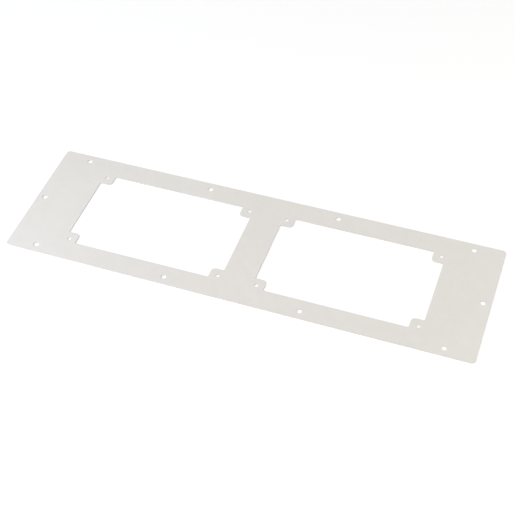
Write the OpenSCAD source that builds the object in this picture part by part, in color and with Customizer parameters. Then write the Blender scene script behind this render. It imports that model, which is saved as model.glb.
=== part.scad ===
// Floor plate for a wide, shallow floor-standing cabinet.
// One flat sheet of steel with two large cable openings side by side.
// Each opening keeps four small corner tabs, and each tab has a screw
// hole for the cover plate that closes the opening. Ten larger holes
// round the rim fix the plate to the cabinet's frame.
// The plate lies flat: X is its long side, Y its depth, Z is up.
// The origin is the middle of the underside.

/* [Plate] */
// Overall length of the sheet, along X
plate_w = 1000; // [960:1:1400]
// Overall depth of the sheet, along Y
plate_d = 300; // [290:1:500]
// Thickness of the sheet
plate_t = 2; // [1:0.5:5]
// Radius of the sheet's four outer corners
corner_r = 8; // [1:0.5:12]

/* [Cable openings] */
// Length of each opening, along X
open_w = 351; // [200:1:360]
// Depth of each opening, along Y
open_d = 207; // [150:1:214]
// Distance between the middles of the two openings
open_pitch = 419; // [380:1:430]
// Radius left by the tool in the opening's inner corners, beside each tab
relief_r = 1; // [0.5:0.25:2.5]

/* [Corner tabs] */
// Length of each tab, from the side of the opening
tab_w = 25.5; // [20:0.5:40]
// Depth of each tab, from the end of the opening
tab_d = 26; // [20:0.5:40]
// Radius of each tab's free corner
tab_r = 9; // [2:0.5:14]

/* [Cover screw holes] */
// Diameter of the screw hole in each tab
cover_hole = 8; // [4:0.1:9]
// Distance of the hole from the side of the opening, along X
cover_inset_x = 8; // [6:0.5:12]
// Distance of the hole from the end of the opening, along Y
cover_inset_y = 8; // [6:0.5:12]

/* [Rim holes] */
// Diameter of the fixing holes round the rim
rim_hole = 11; // [6:0.1:13]
// Number of holes along each long side
rim_count = 4; // [2:1:4]
// Distance between neighbouring holes along each long side
rim_pitch = 291; // [250:1:300]
// Distance of the two long rows from the long edges
rim_inset = 18; // [12:0.5:20]
// Distance of the two end holes from the short edges
end_inset = 17; // [12:0.5:30]

/* [Hidden] */
$fn = 96;

// How far a cutter runs past the faces that it cuts through.
over = 1;

// Places of the two openings' middles along X.
open_x = [-open_pitch / 2, open_pitch / 2];
// Half the distance between the cover screw holes of one opening.
cover_x = open_w / 2 - cover_inset_x;
cover_y = open_d / 2 - cover_inset_y;
// Places of the rim holes along each long side, and of the rows along Y.
rim_x = [for (i = [0 : rim_count - 1]) (i - (rim_count - 1) / 2) * rim_pitch];
rim_y = plate_d / 2 - rim_inset;
// Place of the end holes along X.
end_x = plate_w / 2 - end_inset;

// Finish of the sheet: a pale warm grey paint.
finish = [0.886, 0.871, 0.847];

// Rectangle about the origin with four round corners of radius r.
module round_rect(w, d, r) {
    square([w - 2 * r, d], center = true);
    square([w, d - 2 * r], center = true);
    for (sx = [-1, 1], sy = [-1, 1])
        translate([sx * (w / 2 - r), sy * (d / 2 - r)])
            circle(r = r);
}

// The piece that rounding takes off a square corner whose tip is at the
// origin and whose sides run along +X and +Y.
module corner_trim(r) {
    difference() {
        square([r, r]);
        translate([r, r]) circle(r = r);
    }
}

// Outline of one opening: a rectangle less its four corner tabs.
module opening_outline() {
    round_rect(open_w - 2 * tab_w, open_d, relief_r);
    round_rect(open_w, open_d - 2 * tab_d, relief_r);
    for (sx = [-1, 1], sy = [-1, 1])
        quarter(sx, sy)
            translate([open_w / 2 - tab_w, open_d / 2 - tab_d])
                corner_trim(tab_r);
}

// Repeats a shape drawn in the +X +Y quarter in another quarter.
module quarter(sx, sy) {
    mirror([sx < 0 ? 1 : 0, 0]) mirror([0, sy < 0 ? 1 : 0]) children();
}

// The sheet's outline with both openings cut out of it.
module blank_outline() {
    difference() {
        round_rect(plate_w, plate_d, corner_r);
        for (x = open_x) translate([x, 0]) opening_outline();
    }
}

// A straight hole through the sheet.
module hole(x, y, d) {
    translate([x, y, -over]) cylinder(d = d, h = plate_t + 2 * over);
}

// The four screw holes in the tabs of the opening whose middle is at x.
module cover_holes(x) {
    for (sx = [-1, 1], sy = [-1, 1])
        hole(x + sx * cover_x, sy * cover_y, cover_hole);
}

// The fixing holes round the rim: two long rows and one hole at each end.
module rim_holes() {
    for (x = rim_x, sy = [-1, 1]) hole(x, sy * rim_y, rim_hole);
    for (sx = [-1, 1]) hole(sx * end_x, 0, rim_hole);
}

module floor_plate() {
    color(finish)
        difference() {
            linear_extrude(plate_t) blank_outline();
            for (x = open_x) cover_holes(x);
            rim_holes();
        }
}

floor_plate();
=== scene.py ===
import math

import bpy
import numpy as np
from mathutils import Matrix, Vector
from mathutils.geometry import delaunay_2d_cdt


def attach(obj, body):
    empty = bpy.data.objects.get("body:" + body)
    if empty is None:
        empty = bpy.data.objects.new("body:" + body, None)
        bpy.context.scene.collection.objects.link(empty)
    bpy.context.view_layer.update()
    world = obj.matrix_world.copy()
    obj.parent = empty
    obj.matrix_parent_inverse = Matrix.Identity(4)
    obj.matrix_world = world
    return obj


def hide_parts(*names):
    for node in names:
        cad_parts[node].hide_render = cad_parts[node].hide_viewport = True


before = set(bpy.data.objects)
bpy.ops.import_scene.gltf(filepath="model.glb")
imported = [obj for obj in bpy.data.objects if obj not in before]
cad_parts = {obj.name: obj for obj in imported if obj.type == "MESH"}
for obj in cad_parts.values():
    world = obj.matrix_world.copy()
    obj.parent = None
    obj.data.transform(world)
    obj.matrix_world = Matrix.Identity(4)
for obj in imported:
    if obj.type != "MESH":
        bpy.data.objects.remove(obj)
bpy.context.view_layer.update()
scene = bpy.context.scene

# ---------------------------------------------------------------- sizes, in metres, as in the CAD model
PLATE_W, PLATE_D, PLATE_T = 1.000, 0.300, 0.002
CORNER_R = 0.008
OPEN_W, OPEN_D, OPEN_X = 0.351, 0.207, 0.2095
TAB_W, TAB_D, TAB_R, RELIEF_R = 0.0255, 0.026, 0.009, 0.001
COVER_R, COVER_X, COVER_Y = 0.004, 0.1675, 0.0955
RIM_R, RIM_Y, END_X = 0.0055, 0.132, 0.483
RIM_X = (-0.4365, -0.1455, 0.1455, 0.4365)

# ---------------------------------------------------------------- camera, at the photograph's viewing angle
cam_data = bpy.data.cameras.new("camera")
cam_data.sensor_width = 36.0
cam_data.lens = 78.5715
cam_data.clip_start, cam_data.clip_end = 0.01, 200.0
cam = bpy.data.objects.new("camera", cam_data)
scene.collection.objects.link(cam)
right = Vector((0.94067345, 0.33754482, -0.03459695))
down = Vector((0.23041764, -0.71030193, -0.66511569))
ahead = Vector((-0.24908064, 0.61768493, -0.74593845))
place = Vector((0.59600248, -1.45404070, 1.72741162 + PLATE_T))
cam.matrix_world = Matrix(
    (
        (right.x, -down.x, -ahead.x, place.x),
        (right.y, -down.y, -ahead.y, place.y),
        (right.z, -down.z, -ahead.z, place.z),
        (0, 0, 0, 1),
    )
)
scene.camera = cam


# ---------------------------------------------------------------- outlines
def rounded(corners, step=0.022, arc_step=math.radians(6.5)):
    """Points of a closed outline whose corners (x, y, radius) are rounded, with each point's normal on the right hand of
    the travel. The metal lies on the left."""
    n = len(corners)
    ends = []
    for i in range(n):
        a, b, c = (Vector(corners[(i + k) % n][:2]) for k in (-1, 0, 1))
        r = corners[i][2]
        u, v = (b - a).normalized(), (c - b).normalized()
        turn = math.atan2(u.x * v.y - u.y * v.x, u.dot(v))
        cut = r * math.tan(abs(turn) / 2)
        ends.append((b - u * cut, b + v * cut, u, v, turn, r))
    points, normals = [], []
    for i in range(n):
        p, q, u, v, turn, r = ends[i]
        side = 1 if turn > 0 else -1
        nu = Vector((u.y, -u.x))
        centre = p - nu * r * side
        k = max(3, math.ceil(abs(turn) / arc_step))
        for j in range(k + 1):
            t = turn * j / k
            nj = Vector(
                (
                    nu.x * math.cos(t) - nu.y * math.sin(t),
                    nu.x * math.sin(t) + nu.y * math.cos(t),
                )
            )
            points.append(centre + nj * r * side)
            normals.append(nj)
        start, stop = q, ends[(i + 1) % n][0]
        gap = (stop - start).length
        m = max(1, round(gap / step))
        nv = Vector((v.y, -v.x))
        for j in range(1, m):
            points.append(start.lerp(stop, j / m))
            normals.append(nv)
    return np.array(points, float), np.array(normals, float)


def ring(x, y, r, n):
    """A round hole's outline. The metal lies on the left of the travel, so the normal points to the hole's middle."""
    t = -np.arange(n) * 2 * math.pi / n
    d = np.stack([np.cos(t), np.sin(t)], 1)
    return np.array([x, y]) + d * r, -d


def opening(x):
    w, d = OPEN_W / 2, OPEN_D / 2
    a, b = w - TAB_W, d - TAB_D
    return rounded(
        [
            (x - a, d, RELIEF_R),
            (x + a, d, RELIEF_R),
            (x + a, b, TAB_R),
            (x + w, b, RELIEF_R),
            (x + w, -b, RELIEF_R),
            (x + a, -b, TAB_R),
            (x + a, -d, RELIEF_R),
            (x - a, -d, RELIEF_R),
            (x - a, -b, TAB_R),
            (x - w, -b, RELIEF_R),
            (x - w, b, RELIEF_R),
            (x - a, b, TAB_R),
        ]
    )


hw, hd = PLATE_W / 2, PLATE_D / 2
outer = rounded([(-hw, -hd, CORNER_R), (hw, -hd, CORNER_R), (hw, hd, CORNER_R), (-hw, hd, CORNER_R)])
loops = [outer, opening(-OPEN_X), opening(OPEN_X)]
for x in RIM_X:
    for s in (-1, 1):
        loops.append(ring(x, s * RIM_Y, RIM_R, 72))
for s in (-1, 1):
    loops.append(ring(s * END_X, 0.0, RIM_R, 72))
for x in (-OPEN_X, OPEN_X):
    for sx in (-1, 1):
        for sy in (-1, 1):
            loops.append(ring(x + sx * COVER_X, sy * COVER_Y, COVER_R, 56))

# ---------------------------------------------------------------- the sheet
# The cut edge's section: how far it lies inside the nominal outline, its height, and its normal as (outwards, up).
# The upper edge is a little rounder than the lower one, as a punched and painted edge is.
TOP_R, LOW_R, ROUND = 0.00034, 0.00022, 6
section = []
for k in range(ROUND + 1):
    a = math.pi / 2 * (1 - k / ROUND)
    section.append((TOP_R * (1 - math.cos(a)), PLATE_T - TOP_R * (1 - math.sin(a)), math.cos(a), math.sin(a)))
section.append((0.0, PLATE_T * 0.52, 1.0, 0.0))
for k in range(ROUND + 1):
    a = math.pi / 2 * k / ROUND
    section.append((LOW_R * (1 - math.cos(a)), LOW_R * (1 - math.sin(a)), math.cos(a), -math.sin(a)))

verts, vnormals, edge_mark, faces = [], [], [], []
top_rings, low_rings = [], []
for pts, nrm in loops:
    n = len(pts)
    rows = []
    for inset, z, out, up in section:
        base = len(verts)
        rows.append(base)
        q = pts - nrm * inset
        for i in range(n):
            verts.append((q[i, 0], q[i, 1], z))
            vnormals.append((nrm[i, 0] * out, nrm[i, 1] * out, up))
            edge_mark.append(1.0 - abs(up) ** 3 if abs(up) < 0.999 else 0.0)
    for a, b in zip(rows[:-1], rows[1:]):
        for i in range(n):
            j = (i + 1) % n
            faces.append((a + i, b + i, b + j, a + j))
    top_rings.append((rows[0], n))
    low_rings.append((rows[-1], n))


def inside(loop, x, y):
    """Whether points lie inside a closed outline."""
    px, py = loop[:, 0], loop[:, 1]
    qx, qy = np.roll(px, -1), np.roll(py, -1)
    x, y = np.asarray(x)[:, None], np.asarray(y)[:, None]
    cross = ((py > y) != (qy > y)) & (x < (qx - px) * (y - py) / np.where(qy == py, 1e-30, qy - py) + px)
    return cross.sum(1) % 2 == 1


def nearest(loop, x, y):
    """Distance of points to an outline's own points."""
    return np.sqrt(((loop[None, :, :] - np.stack([x, y], 1)[:, None, :]) ** 2).sum(2).min(1))


# One triangulation serves both faces. Points of a loose grid keep its triangles well shaped.
gx, gy = np.meshgrid(np.arange(-0.495, 0.4951, 0.018), np.arange(-0.1485, 0.1486, 0.0165))
gx, gy = gx.ravel(), gy.ravel()
keep = inside(outer[0], gx, gy)
for pts, _ in loops[1:]:
    keep &= ~inside(pts, gx, gy)
for pts, _ in loops:
    keep &= nearest(pts, gx, gy) > 0.006
gx, gy = gx[keep], gy[keep]

flat, ring_edges, top_index, low_index, rims = [], [], [], [], []
for (pts, nrm), (t0, n), (l0, _) in zip(loops, top_rings, low_rings):
    base = len(flat)
    rims.append(np.array([verts[t0 + i][:2] for i in range(n)]))
    for i in range(n):
        flat.append(Vector((verts[t0 + i][0], verts[t0 + i][1])))
        top_index.append(t0 + i)
        low_index.append(l0 + i)
        ring_edges.append((base + i, base + (i + 1) % n))
for x, y in zip(gx, gy):
    flat.append(Vector((x, y)))
    top_index.append(len(verts))
    verts.append((x, y, PLATE_T))
    vnormals.append((0.0, 0.0, 1.0))
    edge_mark.append(0.0)
    low_index.append(len(verts))
    verts.append((x, y, 0.0))
    vnormals.append((0.0, 0.0, -1.0))
    edge_mark.append(0.0)

out_v, out_e, out_f, orig_v, orig_e, orig_f = delaunay_2d_cdt(flat, ring_edges, [], 0, 1e-9)
if len(out_v) != len(flat):
    raise RuntimeError("the triangulation added or merged points")
source = [o[0] for o in orig_v]
mid = np.array([[sum(out_v[i].x for i in f) / 3, sum(out_v[i].y for i in f) / 3] for f in out_f])
metal = inside(rims[0], mid[:, 0], mid[:, 1])
for rim in rims[1:]:
    metal &= ~inside(rim, mid[:, 0], mid[:, 1])
for f, ok in zip(out_f, metal):
    if ok:
        a, b, c = (source[i] for i in f)
        faces.append((top_index[a], top_index[b], top_index[c]))
        faces.append((low_index[c], low_index[b], low_index[a]))

mesh = bpy.data.meshes.new("floor_plate_sheet")
mesh.from_pydata(verts, [], faces)
mesh.validate()
for p in mesh.polygons:
    p.use_smooth = True
mark = mesh.attributes.new("cut_edge", "FLOAT", "POINT")
mark.data.foreach_set("value", np.array(edge_mark, np.float32))
mesh.normals_split_custom_set_from_vertices(vnormals)
mesh.update()
sheet = bpy.data.objects.new("floor_plate_sheet", mesh)
scene.collection.objects.link(sheet)


# ---------------------------------------------------------------- finish of the sheet
def noise(nt, scale, detail=2.0, rough=0.5, where=(0, 0)):
    n = nt.nodes.new("ShaderNodeTexNoise")
    n.noise_dimensions = "3D"
    n.inputs["Scale"].default_value = scale
    n.inputs["Detail"].default_value = detail
    n.inputs["Roughness"].default_value = rough
    n.location = where
    return n


def math_node(nt, kind, a=None, b=None, where=(0, 0), clamp=False):
    n = nt.nodes.new("ShaderNodeMath")
    n.operation = kind
    n.use_clamp = clamp
    n.location = where
    for i, x in enumerate((a, b)):
        if x is None:
            continue
        if isinstance(x, (int, float)):
            n.inputs[i].default_value = x
        else:
            nt.links.new(x, n.inputs[i])
    return n.outputs[0]


def spread(nt, value, low, high, to_low, to_high, where=(0, 0)):
    n = nt.nodes.new("ShaderNodeMapRange")
    n.location = where
    nt.links.new(value, n.inputs["Value"])
    n.inputs["From Min"].default_value = low
    n.inputs["From Max"].default_value = high
    n.inputs["To Min"].default_value = to_low
    n.inputs["To Max"].default_value = to_high
    return n.outputs["Result"]


paint = bpy.data.materials.new("pale_powder_coat")
paint.use_nodes = True
nt = paint.node_tree
nt.nodes.clear()
out = nt.nodes.new("ShaderNodeOutputMaterial")
out.location = (900, 0)
bsdf = nt.nodes.new("ShaderNodeBsdfPrincipled")
bsdf.location = (600, 0)
bsdf.inputs["Metallic"].default_value = 0.0
bsdf.inputs["IOR"].default_value = 1.5
nt.links.new(bsdf.outputs["BSDF"], out.inputs["Surface"])
coord = nt.nodes.new("ShaderNodeTexCoord")
coord.location = (-1500, 0)
where = coord.outputs["Object"]

# Tone: soft clouds a hand wide, smaller blotches and a fine grain of the powder. Over these, painted shade of the
# powder's relief: the pimples' crests are paler and the hollows between them darker.
clouds = noise(nt, 5.5, 3.0, 0.55, (-1200, 500))
blotch = noise(nt, 42.0, 3.0, 0.6, (-1200, 250))
grain = noise(nt, 900.0, 2.0, 0.6, (-1200, 0))
pimples = noise(nt, 1150.0, 2.0, 0.55, (-1200, -950))
for n in (clouds, blotch, grain, pimples):
    nt.links.new(where, n.inputs["Vector"])
tone = math_node(
    nt,
    "ADD",
    math_node(
        nt,
        "ADD",
        spread(nt, clouds.outputs["Fac"], 0.3, 0.7, -0.2, 0.2, (-950, 500)),
        spread(nt, blotch.outputs["Fac"], 0.3, 0.7, -0.24, 0.24, (-950, 250)),
        (-700, 400),
    ),
    spread(nt, grain.outputs["Fac"], 0.25, 0.75, -0.55, 0.55, (-950, 0)),
    (-500, 300),
)
# Painted shade: the pimples' height, which also drives the bump, lightens their crests and darkens the hollows.
tone = math_node(nt, "ADD", tone, spread(nt, pimples.outputs["Fac"], 0.3, 0.7, 0.15, 0.85, (-950, -150)), (-330, 300), clamp=True)
colour = nt.nodes.new("ShaderNodeMix")
colour.data_type = "RGBA"
colour.location = (-100, 300)
colour.inputs["A"].default_value = (0.655, 0.631, 0.596, 1.0)
colour.inputs["B"].default_value = (0.694, 0.671, 0.638, 1.0)
nt.links.new(tone, colour.inputs["Factor"])
# The coat draws thin along the cut edges, which leaves them a shade deeper; this darker edge colour is partly painted
# shade too, standing in for the shade on the cut faces.
edge = nt.nodes.new("ShaderNodeAttribute")
edge.attribute_type = "GEOMETRY"
edge.attribute_name = "cut_edge"
edge.location = (-500, 600)
thin_coat_and_shade_edge_tone = nt.nodes.new("ShaderNodeMix")
thin_coat_and_shade_edge_tone.data_type = "RGBA"
thin_coat_and_shade_edge_tone.location = (200, 300)
# Cut-face colour: thinner coat and painted shade.
thin_coat_and_shade_edge_tone.inputs["B"].default_value = (0.558, 0.537, 0.507, 1.0)
nt.links.new(edge.outputs["Fac"], thin_coat_and_shade_edge_tone.inputs["Factor"])
nt.links.new(colour.outputs["Result"], thin_coat_and_shade_edge_tone.inputs["A"])
nt.links.new(thin_coat_and_shade_edge_tone.outputs["Result"], bsdf.inputs["Base Color"])

# Roughness: matt, with faint smoother places where the sheet was handled.
handled = noise(nt, 13.0, 4.0, 0.62, (-1200, -300))
handled.inputs["Distortion"].default_value = 0.6
nt.links.new(where, handled.inputs["Vector"])
rough = math_node(
    nt,
    "ADD",
    spread(nt, handled.outputs["Fac"], 0.35, 0.68, 0.60, 0.51, (-950, -300)),
    spread(nt, grain.outputs["Fac"], 0.25, 0.75, -0.03, 0.03, (-950, -500)),
    (-500, -300),
)
nt.links.new(rough, bsdf.inputs["Roughness"])

# Relief: the soft swell of sprayed powder and its fine pimples. On the cut edges, faint upright lines of the cut.
swell = noise(nt, 230.0, 1.5, 0.45, (-1200, -700))
nt.links.new(where, swell.inputs["Vector"])
squeeze = nt.nodes.new("ShaderNodeMapping")
squeeze.location = (-1350, -1200)
squeeze.inputs["Scale"].default_value = (1.0, 1.0, 0.06)
nt.links.new(where, squeeze.inputs["Vector"])
lines = noise(nt, 2600.0, 1.0, 0.5, (-1200, -1200))
nt.links.new(squeeze.outputs["Vector"], lines.inputs["Vector"])
height = math_node(
    nt,
    "ADD",
    math_node(nt, "MULTIPLY", swell.outputs["Fac"], 0.55, (-950, -700)),
    math_node(nt, "MULTIPLY", pimples.outputs["Fac"], 0.6, (-950, -950)),
    (-700, -800),
)
height = math_node(
    nt,
    "ADD",
    height,
    math_node(
        nt,
        "MULTIPLY",
        math_node(nt, "MULTIPLY", lines.outputs["Fac"], 0.35, (-950, -1200)),
        edge.outputs["Fac"],
        (-700, -1200),
    ),
    (-500, -900),
)
bump = nt.nodes.new("ShaderNodeBump")
bump.location = (300, -600)
bump.inputs["Strength"].default_value = 0.8
bump.inputs["Distance"].default_value = 0.0004
nt.links.new(height, bump.inputs["Height"])
nt.links.new(bump.outputs["Normal"], bsdf.inputs["Normal"])

mesh.materials.append(paint)
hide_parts("floor_plate")
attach(sheet, "root")

# ---------------------------------------------------------------- floor
floor_mesh = bpy.data.meshes.new("floor")
R = 40.0
floor_mesh.from_pydata([(-R, -R, 0), (R, -R, 0), (R, R, 0), (-R, R, 0)], [], [(0, 1, 2, 3)])
floor = bpy.data.objects.new("floor", floor_mesh)
floor.location = (0, 0, -0.00002)
scene.collection.objects.link(floor)
white = bpy.data.materials.new("floor_white")
white.use_nodes = True
fb = white.node_tree.nodes["Principled BSDF"]
fb.inputs["Base Color"].default_value = (0.95, 0.95, 0.95, 1)
fb.inputs["Roughness"].default_value = 0.9
fb.inputs["Specular IOR Level"].default_value = 0.2
floor_mesh.materials.append(white)

# ---------------------------------------------------------------- soft studio light
world = bpy.data.worlds.new("studio")
world.use_nodes = True
wt = world.node_tree
bg = wt.nodes["Background"]
# Pale walls all round, and a dimmer ceiling whose light comes more from the left.
sky = wt.nodes.new("ShaderNodeTexCoord")
split = wt.nodes.new("ShaderNodeSeparateXYZ")
wt.links.new(sky.outputs["Generated"], split.inputs["Vector"])
rise = wt.nodes.new("ShaderNodeMapRange")
rise.interpolation_type = "SMOOTHSTEP"
rise.inputs["From Min"].default_value = 0.22
rise.inputs["From Max"].default_value = 0.62
rise.inputs["To Min"].default_value = 0.91
rise.inputs["To Max"].default_value = 0.458
wt.links.new(split.outputs["Z"], rise.inputs["Value"])
lean = wt.nodes.new("ShaderNodeMapRange")
lean.interpolation_type = "SMOOTHSTEP"
lean.inputs["From Min"].default_value = 0.22
lean.inputs["From Max"].default_value = 0.62
lean.inputs["To Min"].default_value = 0.0
lean.inputs["To Max"].default_value = 0.8
wt.links.new(split.outputs["Z"], lean.inputs["Value"])
tilt = math_node(wt, "SUBTRACT", 1.0, math_node(wt, "MULTIPLY", lean.outputs["Result"], split.outputs["X"]))
wt.links.new(math_node(wt, "MULTIPLY", rise.outputs["Result"], tilt), bg.inputs["Strength"])
bg.inputs["Color"].default_value = (1.0, 1.0, 1.0, 1)
scene.world = world


def soft_box(name, place, aim, size, power, colour):
    data = bpy.data.lights.new(name, "AREA")
    data.shape = "RECTANGLE"
    data.size, data.size_y = size
    data.energy = power
    data.color = colour
    obj = bpy.data.objects.new(name, data)
    obj.location = place
    obj.rotation_mode = "QUATERNION"
    obj.rotation_quaternion = (Vector(place) - Vector(aim)).to_track_quat("Z", "Y")
    obj.visible_camera = False
    scene.collection.objects.link(obj)
    return obj


soft_box("right_warm", (1.4, -0.1, 0.9), (0.4, 0.0, 0.0), (0.7, 0.7), 3.5, (1.0, 0.94, 0.86))
soft_box("left_side", (-1.3, -0.6, 0.7), (-0.4, 0.0, 0.0), (0.6, 0.6), 3.3, (0.92, 1.0, 0.86))
soft_box("left_front", (-0.35, -0.75, 0.55), (-0.28, -0.15, 0.0), (0.3, 0.3), 0.66, (1.0, 0.68, 0.66))
soft_box("left_cool", (-0.75, -0.55, 0.45), (-0.45, -0.15, 0.0), (0.3, 0.3), 1.1, (0.28, 0.56, 1.0))

sun_data = bpy.data.lights.new("key_front", "SUN")
sun_data.energy = 1.59
sun_data.angle = math.radians(30)
sun = bpy.data.objects.new("key_front", sun_data)
sun.location = (-0.3, -2.0, 3.0)
sun.rotation_mode = "QUATERNION"
sun.rotation_quaternion = Vector((-0.3, -2.0, 3.0)).to_track_quat("Z", "Y")
scene.collection.objects.link(sun)

scene.view_settings.view_transform = "Standard"
scene.view_settings.look = "None"
scene.view_settings.exposure = 0.0
scene.view_settings.gamma = 1.0
